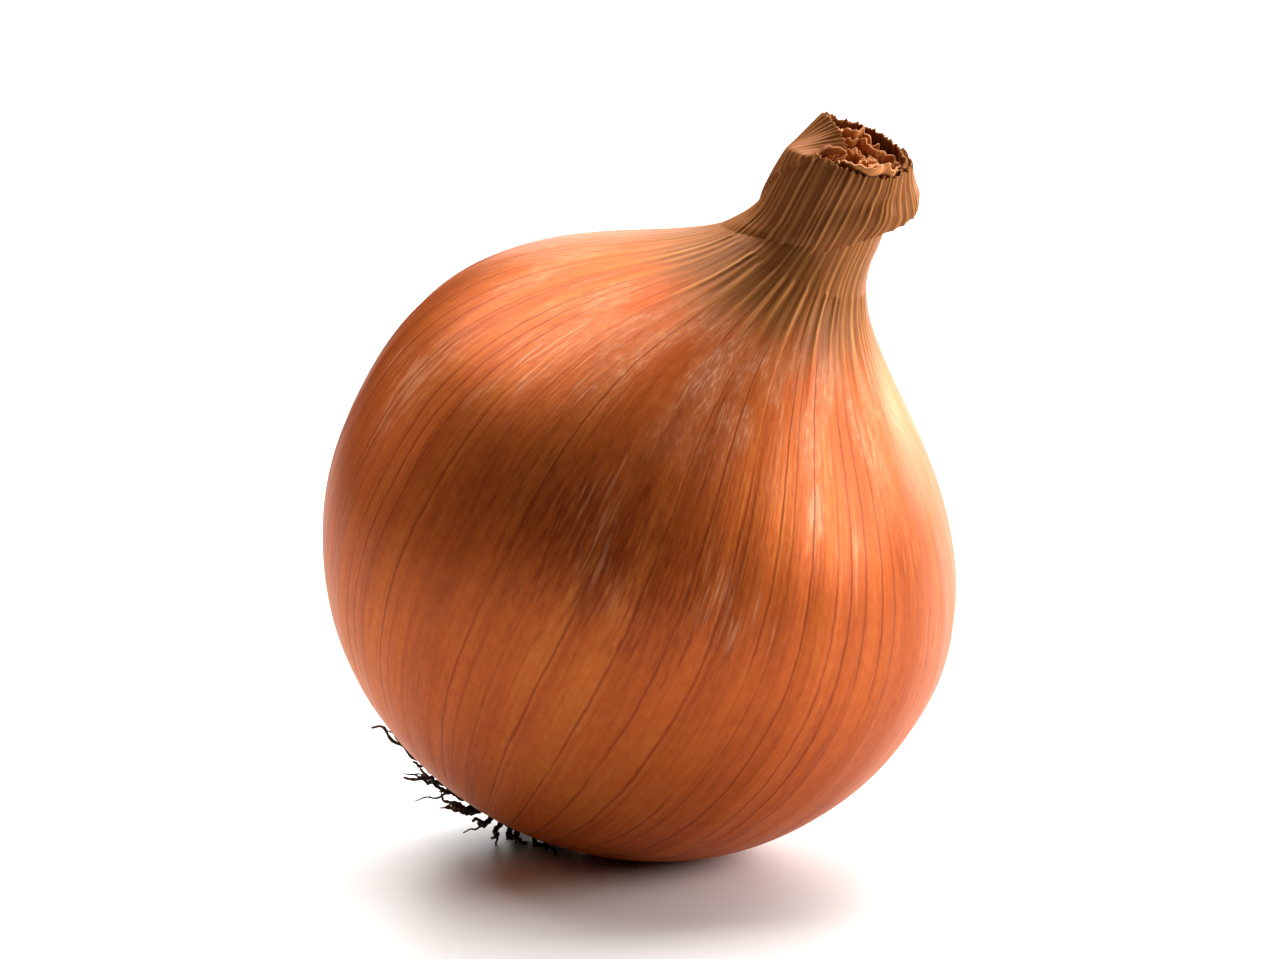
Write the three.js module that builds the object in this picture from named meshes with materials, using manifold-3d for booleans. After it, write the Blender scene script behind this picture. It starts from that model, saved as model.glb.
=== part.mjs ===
// A whole onion as it lies on a table: a solid bulb leaning on its flank, the dry sheath wrapped round its
// neck, the dead leaves curled in the neck's cut end, the corky root plate and its dried roots.
// Millimetres, +Z up. The bulb rests at the origin, on the small flat that its own weight has pressed.
import * as THREE from "three";
import Module from "manifold-3d";
import { mergeVertices } from "three/addons/utils/BufferGeometryUtils.js";

const { degToRad, euclideanModulo, lerp, smoothstep } = THREE.MathUtils;

// Bulb. Heights run along the bulb's own axis, from its base towards its neck.
const BELLY_WIDTH = 76; // across the widest section, in the plane of the lean
const BELLY_DEPTH = 74; // across the widest section, square to the lean
const BELLY_HEIGHT = 36.3; // of the widest section
const THROAT_HEIGHT = 82; // where the shoulder ends and the neck is thinnest
const THROAT_RADIUS = 6.4;
const SHOULDER_FULLNESS = 27; // how far the shoulder's curve first runs straight up
const THROAT_SWEEP = 14; // how far it last runs straight into the throat
const SHOULDER_SWAY = -1.9; // the shoulder's centre line bows back from the lean
const NECK_SWAY = 0.9; // and the neck's comes forward again
const SWAY_RUN = 19; // over this height below the throat

// Neck's cut end: a fleshy stump with a cup in it.
const STUMP_HEIGHT = 5; // above the throat
const STUMP_FLARE = 0.2;
const STUMP_WALL = 1;
const CUP_DEPTH = 9;

// Dry sheath wrapped round the neck. Its free edge slants up round the neck and stands off.
const SHEATH_THICKNESS = 0.5;
const SHEATH_HEM = 2.5; // its lower edge's distance below the throat
const SHEATH_RISE = 6; // its rim's height above the stump
const RIM_DIP = 2; // the rim is lower at the front
const LAP_LOW = degToRad(-75); // where the free edge starts at the hem
const LAP_HIGH = degToRad(60); // and where it reaches the rim
const LAP_OPENING = degToRad(14);
const LAP_FLARE = 1.1; // how far the free edge stands off
const LAP_FLARE_WIDTH = degToRad(50);
const FOLD_DEPTH = 1.3; // how far the rim folds in, on the side away from the lean
const FOLD_HALF_WIDTH = degToRad(60);

// Dead leaves curled in the cup, from the outermost in.
const LEAF_THICKNESS = 0.45;
const LEAF_RISE = 3; // above the stump
const LEAF_OPENING = 1.6; // between the edges of each
const HEART_RADIUS = 1.8; // of the innermost
const LEAVES = [
  { name: "neck_leaf_outer", opensAt: degToRad(190), rise: 0 },
  { name: "neck_leaf_second", opensAt: degToRad(40), rise: 0.8 },
  { name: "neck_leaf_third", opensAt: degToRad(275), rise: -0.4 },
  { name: "neck_leaf_heart", opensAt: degToRad(130), rise: 0.4 },
];

// Root plate, seated in the base.
const PLATE_RADIUS = 8.5;
const PLATE_SEAT = 2; // how deep it sits in the skin
const PLATE_BULGE = 1.8; // how far its underside domes

// Roots. They fan out over the plate's underside, away from the table.
const ROOT_RADIUS = 0.45;
const ROOT_MARGIN = 1.5; // plate left bare round the roots
const ROOT_FOOT = 0.9; // how far a root grows straight out before it bends
const SPIRAL_ROOTS = 22; // grow in a spiral, as a sunflower's seeds do
const ROOT_FAN = degToRad(150); // how far round to each side of the raised side they grow
const LONG_ROOT = 15; // on the raised side
const SHORT_ROOT = 5; // on the side that is close to the table
const SHORTEST_SHARE = 0.6; // of the length that a root could have
const EDGE_ROOT_DROP = 1.35; // how far off the skin a root from the field's edge runs
const MIDDLE_ROOT_DROP = 2.45; // and one from its middle, which passes under the others
const ROOT_TIP_LIFT = 3; // how much further off the skin a long root's tip may stand
const ROOT_WANDER = degToRad(4); // how far a root may stray to either side
const STRAY_ROOTS = [ // grow at the field's edge and stand clear of the others
  { around: degToRad(190.5), length: 12, drop: 1.4, lift: 3.4 },
  { around: degToRad(207), length: 6, drop: 2.6, lift: 2 },
  { around: degToRad(163), length: 8.5, drop: 1.4, lift: 0.8 },
];

// How it lies, and the room between pieces.
const LEAN = degToRad(27.6); // of the bulb's axis from upright
const LEAN_HEADING = degToRad(-20.4); // from +X
const FLAT_DEPTH = 0.5; // how much of the flank is pressed flat
const GAP = 0.3; // between pieces that touch
const TABLE_GAP = 0.15; // under a root that lies along the table

// Fineness of the faceted solids.
const BULB_SIDES = 56;
const CURVE_ROWS = 12;
const SHEATH_COLUMNS = 40;
const SHEATH_ROWS = 6;
const LEAF_COLUMNS = 16;
const LEAF_ROWS = 3;
const PLATE_SIDES = 28;
const PLATE_ROWS = 3;
const ROOT_SIDES = 6;
const ROOT_STEPS = 10;

const BELLY_RADIUS = BELLY_WIDTH / 2;
const OVAL = BELLY_DEPTH / BELLY_WIDTH;
const STUMP_TOP = THROAT_HEIGHT + STUMP_HEIGHT;
const CUP_RADIUS = THROAT_RADIUS - STUMP_WALL;
const CUP_FLOOR = STUMP_TOP - CUP_DEPTH;
const SEAT_RADIUS = PLATE_RADIUS + GAP;
const SEAT_EDGE = skinHeight(SEAT_RADIUS);
const ROOT_FIELD = PLATE_RADIUS - ROOT_MARGIN;
const SHOULDER = new THREE.CubicBezierCurve(
  new THREE.Vector2(BELLY_RADIUS, BELLY_HEIGHT),
  new THREE.Vector2(BELLY_RADIUS, BELLY_HEIGHT + SHOULDER_FULLNESS),
  new THREE.Vector2(THROAT_RADIUS, THROAT_HEIGHT - THROAT_SWEEP),
  new THREE.Vector2(THROAT_RADIUS, THROAT_HEIGHT),
);

const skin = new THREE.MeshStandardMaterial({ name: "dry_skin", color: 0xb8612c, roughness: 0.4 });
const sheath = new THREE.MeshStandardMaterial({ name: "neck_sheath", color: 0xa8642f, roughness: 0.6 });
const deadLeaf = new THREE.MeshStandardMaterial({ name: "dead_leaf", color: 0x8a4a24, roughness: 0.75 });
const cork = new THREE.MeshStandardMaterial({ name: "root_plate", color: 0x4a3422, roughness: 0.9 });
const dryRoot = new THREE.MeshStandardMaterial({ name: "dry_root", color: 0x5a4228, roughness: 0.8 });

const wasm = await Module();
wasm.setup();

/** A three.js geometry as a solid that can be cut. */
function toSolid(geometry) {
  const bare = new THREE.BufferGeometry();
  bare.setAttribute("position", geometry.getAttribute("position"));
  bare.setIndex(geometry.index);
  const merged = mergeVertices(bare, 1e-3);
  return new wasm.Manifold(
    new wasm.Mesh({
      numProp: 3,
      vertProperties: merged.getAttribute("position").array,
      triVerts: new Uint32Array(merged.index.array),
    }),
  );
}

/** A cut solid as a three.js geometry again. */
function toGeometry(solid) {
  const mesh = solid.getMesh();
  const geometry = new THREE.BufferGeometry();
  geometry.setAttribute("position", new THREE.BufferAttribute(mesh.vertProperties, 3));
  geometry.setIndex(new THREE.BufferAttribute(mesh.triVerts, 1));
  geometry.computeVertexNormals();
  return geometry;
}

/** Moves each vertex of a geometry to where place(vertex) puts it. */
function reshape(geometry, place) {
  const position = geometry.getAttribute("position");
  const vertex = new THREE.Vector3();
  for (let i = 0; i < position.count; i++) {
    vertex.fromBufferAttribute(position, i);
    position.setXYZ(i, ...place(vertex));
  }
  geometry.computeVertexNormals();
  return geometry;
}

/** A block of cells whose x, y and z run from 0 to 1, to be wrapped into a curved sheet. */
function flatSheet(columns, rows) {
  return new THREE.BoxGeometry(1, 1, 1, columns, rows, 1).translate(0.5, 0.5, 0.5);
}

/** Height of the bulb's underside at a radius, as if it had no plate. */
function skinHeight(radius) {
  return BELLY_HEIGHT * (1 - Math.sqrt(1 - (radius / BELLY_RADIUS) ** 2));
}

/** Height of the bulb's underside at a radius, with the plate in it. */
function undersideHeight(radius) {
  if (radius < PLATE_RADIUS) {
    return SEAT_EDGE - PLATE_BULGE * Math.sqrt(1 - (radius / PLATE_RADIUS) ** 2);
  }
  return skinHeight(radius);
}

/** Radius of the neck's flesh at a height, along the same facets as the bulb's. */
function neckRadius(height) {
  const stumpRim = new THREE.Vector2(THROAT_RADIUS + STUMP_FLARE, STUMP_TOP);
  const points = [...SHOULDER.getPoints(CURVE_ROWS), stumpRim];
  const above = points.findIndex((point) => point.y >= height);
  const [low, high] = [points[above - 1], points[above]];
  return lerp(low.x, high.x, (height - low.y) / (high.y - low.y));
}

/** How far the centre line sways along the lean at a height. */
function sway(height) {
  const back = smoothstep(height, BELLY_HEIGHT, THROAT_HEIGHT - SWAY_RUN);
  const forward = smoothstep(height, THROAT_HEIGHT - SWAY_RUN, THROAT_HEIGHT);
  return SHOULDER_SWAY * (back - forward) + NECK_SWAY * forward;
}

/** The point at an angle round the axis, a height along it and a radius from the swayed centre line. */
function roundAxis(angle, height, radius) {
  return [radius * Math.cos(angle) + sway(height), radius * Math.sin(angle) * OVAL, height];
}

/** A solid turned round the axis from an outline of radius and height, made oval and swayed. */
function turned(outline, sides) {
  const geometry = new THREE.LatheGeometry(outline, sides).rotateX(Math.PI / 2);
  return reshape(geometry, ({ x, y, z }) => [x + sway(z), y * OVAL, z]);
}

/** The bulb before the table presses it, with the plate's seat in its base and the cup in its neck. */
function roundBulb() {
  const seatAngle = Math.acos(SEAT_RADIUS / BELLY_RADIUS);
  const { v1, v2, v3 } = SHOULDER;
  const outline = new THREE.Path()
    .moveTo(0, SEAT_EDGE + PLATE_SEAT)
    .lineTo(SEAT_RADIUS, SEAT_EDGE + PLATE_SEAT)
    .lineTo(SEAT_RADIUS, SEAT_EDGE)
    .absellipse(0, BELLY_HEIGHT, BELLY_RADIUS, BELLY_HEIGHT, -seatAngle, 0, false)
    .bezierCurveTo(v1.x, v1.y, v2.x, v2.y, v3.x, v3.y)
    .lineTo(THROAT_RADIUS + STUMP_FLARE, STUMP_TOP)
    .lineTo(CUP_RADIUS + STUMP_FLARE, STUMP_TOP)
    .lineTo(CUP_RADIUS, CUP_FLOOR)
    .lineTo(0, CUP_FLOOR);
  return turned(outline.getPoints(CURVE_ROWS), BULB_SIDES);
}

/** What lies below the table's top, in the bulb's own frame. */
function tableBlock() {
  const size = 4 * BELLY_WIDTH;
  const block = new THREE.BoxGeometry(size, size, size).translate(0, 0, -size / 2);
  return block.applyMatrix4(onion.matrixWorld.clone().invert());
}

/** The bulb, pressed flat where it rests. */
function pressedBulb() {
  return toGeometry(toSolid(roundBulb()).subtract(toSolid(tableBlock())));
}

/** The sheath: a sheet that goes most of the way round the neck. x runs round to its free edge. */
function neckSheath() {
  const turn = 2 * Math.PI - LAP_OPENING;
  return reshape(flatSheet(SHEATH_COLUMNS, SHEATH_ROWS), ({ x, y, z }) => {
    const fromEdge = (1 - x) * turn;
    const angle = lerp(LAP_LOW, LAP_HIGH, y) - fromEdge;
    const rim = STUMP_TOP + SHEATH_RISE - (RIM_DIP * (1 - Math.sin(angle))) / 2;
    const height = lerp(THROAT_HEIGHT - SHEATH_HEM, rim, y);
    const flare = LAP_FLARE * (1 - smoothstep(fromEdge, 0, LAP_FLARE_WIDTH));
    const fromFold = Math.abs(euclideanModulo(angle, 2 * Math.PI) - Math.PI);
    const folded = 1 - smoothstep(fromFold, 0, FOLD_HALF_WIDTH);
    const fold = FOLD_DEPTH * folded * smoothstep(height, STUMP_TOP, rim);
    const inside = neckRadius(Math.min(height, STUMP_TOP)) + GAP + flare - fold;
    return roundAxis(angle, height, inside + z * SHEATH_THICKNESS);
  });
}

/** One dead leaf, curled round the inside of the cup or of the leaf outside it. */
function curledLeaf({ opensAt, rise }, rank) {
  const outermost = CUP_RADIUS - GAP;
  const outside = lerp(outermost, HEART_RADIUS, rank / (LEAVES.length - 1));
  const inside = outside - LEAF_THICKNESS;
  const opening = LEAF_OPENING / inside;
  return reshape(flatSheet(LEAF_COLUMNS, LEAF_ROWS), ({ x, y, z }) => {
    const angle = opensAt + opening + x * (2 * Math.PI - opening);
    const height = lerp(CUP_FLOOR + GAP, STUMP_TOP + LEAF_RISE + rise, y);
    return roundAxis(angle, height, lerp(inside, outside, z));
  });
}

/** The corky disc that the roots grow from. */
function rootPlate() {
  const outline = new THREE.Path()
    .moveTo(0, SEAT_EDGE - PLATE_BULGE)
    .absellipse(0, SEAT_EDGE, PLATE_RADIUS, PLATE_BULGE, -Math.PI / 2, 0, false)
    .lineTo(PLATE_RADIUS, SEAT_EDGE + PLATE_SEAT - GAP)
    .lineTo(0, SEAT_EDGE + PLATE_SEAT - GAP);
  return turned(outline.getPoints(PLATE_ROWS), PLATE_SIDES);
}

/** Lifts a point of the bulb's frame so that a root there clears the table. */
function clearOfTable(point) {
  const inRoom = point.applyMatrix4(onion.matrixWorld);
  inRoom.z = Math.max(inRoom.z, ROOT_RADIUS + TABLE_GAP);
  return inRoom.applyMatrix4(onion.matrixWorld.clone().invert());
}

/** A root: straight out of the plate, then along under the bulb to a tip that stands off the skin. */
function rootTube({ ring, around, length, drop, wander, lift }) {
  const along = (part, offSkin) => {
    const reach = ring + length * part;
    const angle = around + wander * part;
    const height = undersideHeight(reach) - offSkin;
    return new THREE.Vector3(reach * Math.cos(angle), reach * Math.sin(angle) * OVAL, height);
  };
  const foot = [along(0, GAP), along(0, GAP + ROOT_FOOT)];
  const run = [along(0.3, drop), along(0.65, drop + lift * 0.3), along(1, drop + lift)];
  const section = new THREE.EllipseCurve(0, 0, ROOT_RADIUS, ROOT_RADIUS).getPoints(ROOT_SIDES);
  return new THREE.ExtrudeGeometry(new THREE.Shape(section.slice(1)), {
    steps: ROOT_STEPS,
    extrudePath: new THREE.CatmullRomCurve3([foot[0], ...[foot[1], ...run].map(clearOfTable)]),
  });
}

/** The numbered term, from 0 to 1, of a sequence that looks random and is always the same. */
function share(number, step) {
  return euclideanModulo(number * step, 1);
}

/** Where a numbered root of the spiral grows and how far it runs. */
function spiralRoot(number) {
  const goldenShare = (Math.sqrt(5) - 1) / 2;
  const toEdge = Math.sqrt((number + 0.5) / SPIRAL_ROOTS);
  const around = Math.PI + ROOT_FAN * (2 * share(number, goldenShare) - 1);
  const raised = (1 - Math.cos(around)) / 2; // 1 on the side away from the lean
  return {
    ring: ROOT_FIELD * toEdge,
    around,
    length: lerp(SHORT_ROOT, LONG_ROOT, raised) * lerp(SHORTEST_SHARE, 1, share(number, Math.SQRT2)),
    drop: lerp(MIDDLE_ROOT_DROP, EDGE_ROOT_DROP, toEdge),
    wander: ROOT_WANDER * (2 * share(number, Math.sqrt(3)) - 1),
    lift: ROOT_TIP_LIFT * raised * share(number, Math.sqrt(7)),
  };
}

/** Every root, the strays first. */
function allRoots() {
  const roots = STRAY_ROOTS.map((stray) => ({ ring: ROOT_FIELD, wander: 0, ...stray }));
  for (let i = 0; i < SPIRAL_ROOTS; i++) {
    roots.push(spiralRoot(i));
  }
  return roots;
}

/** Leans the bulb's frame over and sets it down, with the pressed flat centred on the origin. */
function layDown(group) {
  const leanAxis = new THREE.Vector3(-Math.sin(LEAN_HEADING), Math.cos(LEAN_HEADING), 0);
  const heading = new THREE.Quaternion().setFromAxisAngle(new THREE.Vector3(0, 0, 1), LEAN_HEADING);
  group.quaternion.setFromAxisAngle(leanAxis, LEAN).multiply(heading);
  const radii = new THREE.Vector3(BELLY_RADIUS, BELLY_RADIUS * OVAL, BELLY_HEIGHT);
  const down = new THREE.Vector3(0, 0, -1).applyQuaternion(group.quaternion.clone().invert());
  const scaled = down.multiply(radii);
  const lowest = scaled.clone().multiply(radii).divideScalar(scaled.length());
  lowest.z += BELLY_HEIGHT;
  group.position.copy(lowest.applyQuaternion(group.quaternion).negate());
  group.position.z -= FLAT_DEPTH;
  group.updateMatrixWorld(true);
}

/** Adds a named piece to the onion. */
function addPiece(name, geometry, material) {
  const piece = new THREE.Mesh(geometry, material);
  piece.name = name;
  onion.add(piece);
}

const onion = new THREE.Group();
layDown(onion);
addPiece("bulb", pressedBulb(), skin);
addPiece("neck_sheath", neckSheath(), sheath);
LEAVES.forEach((leaf, rank) => addPiece(leaf.name, curledLeaf(leaf, rank), deadLeaf));
addPiece("root_plate", rootPlate(), cork);
allRoots().forEach((root, i) => {
  addPiece(`root_${String(i + 1).padStart(2, "0")}`, rootTube(root), dryRoot);
});

const part = new THREE.Group();
part.add(onion);
export default part;
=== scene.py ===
"""The look of a whole cured onion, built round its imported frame.

The bulb leans on its flank with its neck up and to the right. Surfaces are worked out in the bulb's own
frame, in millimetres with its axis upright, and are then laid down into the room, in metres. Only the roots'
tubes are shaped in the room, round lines that are laid down first.
"""

import logging
import math
from collections.abc import Sequence
from dataclasses import dataclass
from enum import Enum

import bpy
import numpy as np
from mathutils import Matrix, Vector


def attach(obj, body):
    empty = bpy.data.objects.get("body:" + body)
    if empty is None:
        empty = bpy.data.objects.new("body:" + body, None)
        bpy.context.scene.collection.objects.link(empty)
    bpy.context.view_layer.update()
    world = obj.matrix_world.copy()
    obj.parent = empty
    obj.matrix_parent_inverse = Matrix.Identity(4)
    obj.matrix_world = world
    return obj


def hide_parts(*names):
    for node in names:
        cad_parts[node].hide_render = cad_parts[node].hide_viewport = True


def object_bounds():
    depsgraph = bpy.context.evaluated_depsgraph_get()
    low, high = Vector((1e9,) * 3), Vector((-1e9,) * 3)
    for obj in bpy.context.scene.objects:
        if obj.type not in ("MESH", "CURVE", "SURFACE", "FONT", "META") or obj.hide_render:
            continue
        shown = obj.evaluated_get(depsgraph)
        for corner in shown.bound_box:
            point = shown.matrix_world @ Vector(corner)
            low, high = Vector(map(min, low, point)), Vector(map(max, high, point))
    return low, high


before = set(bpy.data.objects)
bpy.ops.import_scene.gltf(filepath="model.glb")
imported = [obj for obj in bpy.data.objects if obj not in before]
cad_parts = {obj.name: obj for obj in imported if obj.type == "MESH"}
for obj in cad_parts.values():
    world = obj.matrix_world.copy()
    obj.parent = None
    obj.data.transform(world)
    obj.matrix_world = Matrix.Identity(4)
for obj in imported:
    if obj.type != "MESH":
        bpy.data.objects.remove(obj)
cad_low, cad_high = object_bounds()

MM = 0.001
FULL_TURN = 2 * math.pi
log = logging.getLogger("onion")


# ---------------------------------------------------------------- numbers and noise


def smooth(value: np.ndarray, low: float | np.ndarray, high: float | np.ndarray) -> np.ndarray:
    """A soft step from 0 at low to 1 at high."""
    share = np.clip((value - low) / (high - low), 0, 1)
    return share * share * (3 - 2 * share)


def wrapped(angle: np.ndarray, start: float = -math.pi) -> np.ndarray:
    """The same angles, within one turn from start."""
    return np.mod(angle - start, FULL_TURN) + start


def round_the_neck(angle: np.ndarray, at_degrees: Sequence[float], values: Sequence[float]) -> np.ndarray:
    """A value given at a few angles round the axis, drawn smoothly through the rest of the turn."""
    return np.interp(np.degrees(wrapped(angle)), at_degrees, values, period=360)


def waves(angle: np.ndarray, height: np.ndarray, round_: tuple[int, int], up: float, seed: int,
          count: int = 24) -> np.ndarray:
    """Smooth random waves that close round the axis.

    Args:
        angle: radians round the axis.
        height: millimetres along it.
        round_: fewest and most waves in one turn.
        up: most radians of phase per millimetre of height.
        seed: picks the waves.
        count: how many waves are added.

    Returns:
        The sum at each point, mostly between -1 and 1.
    """
    rng = np.random.default_rng(seed)
    total = np.zeros(np.broadcast(angle, height).shape)
    for _ in range(count):
        turns = rng.integers(round_[0], round_[1] + 1)
        total += np.cos(turns * angle + rng.uniform(-up, up) * height + rng.uniform(0, FULL_TURN))
    calm = 0.6
    return total * math.sqrt(2 / count) * calm


def linear(hex_colour: str) -> tuple[float, float, float, float]:
    """Turns an sRGB hex colour into the linear colour that a shader takes.

    Args:
        hex_colour: a # and six hex digits.

    Returns:
        Red, green, blue and a full alpha.
    """
    channels = [int(hex_colour[i:i + 2], 16) / 255 for i in (1, 3, 5)]
    turned = [c / 12.92 if c <= 0.04045 else ((c + 0.055) / 1.055) ** 2.4 for c in channels]
    return (*turned, 1.0)


# ---------------------------------------------------------------- how the onion lies, and its form


@dataclass(frozen=True)
class Lie:
    """How the bulb lies on the table."""

    lean: float = math.radians(27.6)
    heading: float = math.radians(-20.4)
    flat_depth: float = 0.5
    radii: tuple[float, float, float] = (38.0, 37.0, 36.3)

    def turn(self) -> Matrix:
        """The rotation from the bulb's frame to the room."""
        lean_axis = Vector((-math.sin(self.heading), math.cos(self.heading), 0))
        return Matrix.Rotation(self.lean, 3, lean_axis) @ Matrix.Rotation(self.heading, 3, "Z")

    def to_room(self, points: np.ndarray) -> np.ndarray:
        """Lays points of the bulb's frame down into the room.

        Args:
            points: millimetres, one row each.

        Returns:
            Metres, with the pressed flat centred on the origin.
        """
        turn = np.array(self.turn())
        radii = np.array(self.radii)
        scaled = turn.T @ np.array([0, 0, -1.0]) * radii
        lowest = scaled * radii / np.linalg.norm(scaled) + np.array([0, 0, self.radii[2]])
        place = -(turn @ lowest) - np.array([0, 0, self.flat_depth])
        return (points @ turn.T + place) * MM

    def above_table(self, points: np.ndarray, clearance: float = 0.0) -> np.ndarray:
        """Presses the table's top into room points, softly.

        Args:
            points: metres, one row each.
            clearance: how far above the table they are kept, in metres.

        Returns:
            The points, none of them below that.
        """
        soft = 0.1 * MM
        raised = points.copy()
        depth = points[:, 2] - clearance
        raised[:, 2] = clearance + (depth + np.sqrt(depth**2 + soft**2)) / 2
        return raised


@dataclass(frozen=True)
class OnionForm:
    """The bulb's outline and the fine relief that its skin and its neck's sheath share."""

    belly: float = 38.0
    oval: float = 37.0 / 38.0
    belly_height: float = 36.3
    seat: float = 8.8
    throat: float = 7.1
    throat_height: float = 82.0
    fullness: float = 28.0
    sweep: float = 14.0
    shoulder_sway: float = -1.9
    neck_sway: float = 0.9
    sway_run: float = 19.0
    rib_count: int = 64
    rib_depth: float = 0.19
    rib_level: float = 0.35
    rib_heights: tuple[float, float] = (62.0, 81.0)
    swell_depth: float = 0.3
    swell_ends: tuple[float, float] = (60.0, 76.0)
    flute_depth: float = 0.06
    flute_ends: tuple[float, float] = (42.0, 68.0)
    smooth_base: tuple[float, float] = (2.0, 12.0)

    def belly_outline(self, rows: int) -> np.ndarray:
        """Draws the lower half of the bulb.

        Args:
            rows: how many points it has.

        Returns:
            Radius and height of each, from the plate's seat to the widest section.
        """
        start = math.acos(self.seat / self.belly)
        angle = np.linspace(-start, 0, rows)
        return np.stack([self.belly * np.cos(angle), self.belly_height * (1 + np.sin(angle))], axis=1)

    def shoulder_outline(self, rows: int) -> np.ndarray:
        """Draws the shoulder and the neck as one curve.

        Args:
            rows: how many points it has.

        Returns:
            Radius and height of each, from the widest section to the throat.
        """
        t = np.linspace(0, 1, rows)[:, None]
        ends = np.array([
            (self.belly, self.belly_height),
            (self.belly, self.belly_height + self.fullness),
            (self.throat, self.throat_height - self.sweep),
            (self.throat, self.throat_height),
        ])
        return ((1 - t)**3 * ends[0] + 3 * t * (1 - t)**2 * ends[1]
                + 3 * t**2 * (1 - t) * ends[2] + t**3 * ends[3])

    def radius_at(self, height: np.ndarray) -> np.ndarray:
        """Outside radius at heights from the belly up, straight above the throat."""
        outline = self.shoulder_outline(400)
        return np.interp(height, outline[:, 1], outline[:, 0])

    def arc_at(self, height: np.ndarray) -> np.ndarray:
        """Measures along the skin.

        Args:
            height: along the axis, in millimetres.

        Returns:
            Distance from the root end to each height.
        """
        outline = np.concatenate([self.belly_outline(200), self.shoulder_outline(400)[1:]])
        steps = np.linalg.norm(np.diff(outline, axis=0), axis=1)
        arc = np.concatenate([[0], np.cumsum(steps)])
        above = np.maximum(height - self.throat_height, 0)
        return np.interp(height, outline[:, 1], arc) + above

    def sway(self, height: np.ndarray) -> np.ndarray:
        """Bows the centre line.

        Args:
            height: along the axis, in millimetres.

        Returns:
            How far it is pushed along the lean at each height.
        """
        turn_height = self.throat_height - self.sway_run
        back = smooth(height, self.belly_height, turn_height)
        forward = smooth(height, turn_height, self.throat_height)
        return self.shoulder_sway * (back - forward) + self.neck_sway * forward

    def place(self, angle: np.ndarray, height: np.ndarray, radius: np.ndarray) -> np.ndarray:
        """Points at angles round the swayed centre line, one row each, in the bulb's frame."""
        across = radius * np.cos(angle) + self.sway(height)
        return np.stack([across, radius * np.sin(angle) * self.oval, height], axis=-1)

    def ribs(self, angle: np.ndarray, height: np.ndarray) -> np.ndarray:
        """Draws the neck's ribs, uneven and a little adrift.

        Args:
            angle: round the axis, in radians.
            height: along the axis, in millimetres.

        Returns:
            0 between the ribs, up to 1 or a little more on their crests.
        """
        drift = 3.2 * waves(angle, height, (3, 15), 0.03, seed=11)
        crest = 0.5 + 0.5 * np.cos(self.rib_count * angle + drift)
        uneven = 0.6 + 0.6 * waves(angle, height, (10, 50), 0.06, seed=12)
        return np.clip(uneven, 0.1, 1.5) * crest**1.4

    def relief(self, angle: np.ndarray, height: np.ndarray) -> np.ndarray:
        """Adds up the ribs, the slow swellings and the shallow flutes of the skin.

        Args:
            angle: round the axis, in radians.
            height: along the axis, in millimetres.

        Returns:
            How far the skin stands out of the smooth outline, in millimetres.
        """
        ribbed = self.rib_depth * smooth(height, *self.rib_heights)**1.3
        swell = self.swell_depth * waves(angle, height, (1, 5), 0.07, seed=21)
        swell = swell * (1 - smooth(height, *self.swell_ends))
        flutes = self.flute_depth * waves(angle, height, (14, 44), 0.01, seed=22)
        soft = swell + flutes * (1 - smooth(height, *self.flute_ends))
        return ribbed * (self.ribs(angle, height) - self.rib_level) + soft * smooth(height, *self.smooth_base)


LIE = Lie()
FORM = OnionForm()


# ---------------------------------------------------------------- finishes


class Level:
    """A number that varies over a surface: the output of a shader node, which the usual sums combine."""

    def __init__(self, socket: bpy.types.NodeSocket) -> None:
        """Takes the output that gives the number."""
        self.socket = socket

    def combined(self, operation: str, other: "Level | float", other_first: bool = False) -> "Level":
        """Combines this number with another.

        Args:
            operation: the Math node's name for it.
            other: the other number, the same everywhere or a level.
            other_first: whether the other one comes first, as where this one is taken from it.

        Returns:
            What they make.
        """
        values = (other, self) if other_first else (self, other)
        node = add_node(self.socket.id_data, "Math", dict(enumerate(values)), operation=operation)
        return Level(node.outputs[0])

    def __add__(self, other: "Level | float") -> "Level":
        """The two together."""
        return self.combined("ADD", other)

    def __mul__(self, other: "Level | float") -> "Level":
        """The one times the other."""
        return self.combined("MULTIPLY", other)

    def __sub__(self, other: "Level | float") -> "Level":
        """What is left of this number without the other."""
        return self.combined("SUBTRACT", other)

    def __rsub__(self, other: float) -> "Level":
        """What is left of a plain number without this one."""
        return self.combined("SUBTRACT", other, other_first=True)

    def eased(self, low: float, high: float, to: float = 1.0) -> "Level":
        """A soft step, as the shader's counterpart of smooth.

        Args:
            low: where the step starts, at 0.
            high: where it ends.
            to: the number that it ends at.

        Returns:
            The stepped number.
        """
        inputs = {"Value": self, "From Min": low, "From Max": high, "To Min": 0.0, "To Max": to}
        node = add_node(self.socket.id_data, "MapRange", inputs, interpolation_type="SMOOTHSTEP")
        return Level(node.outputs[0])

    def between(self, rise: tuple[float, float], fall: tuple[float, float]) -> "Level":
        """A band that fades in over one stretch of this number and out over a later one."""
        return self.eased(*rise) * (1.0 - self.eased(*fall))


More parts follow.
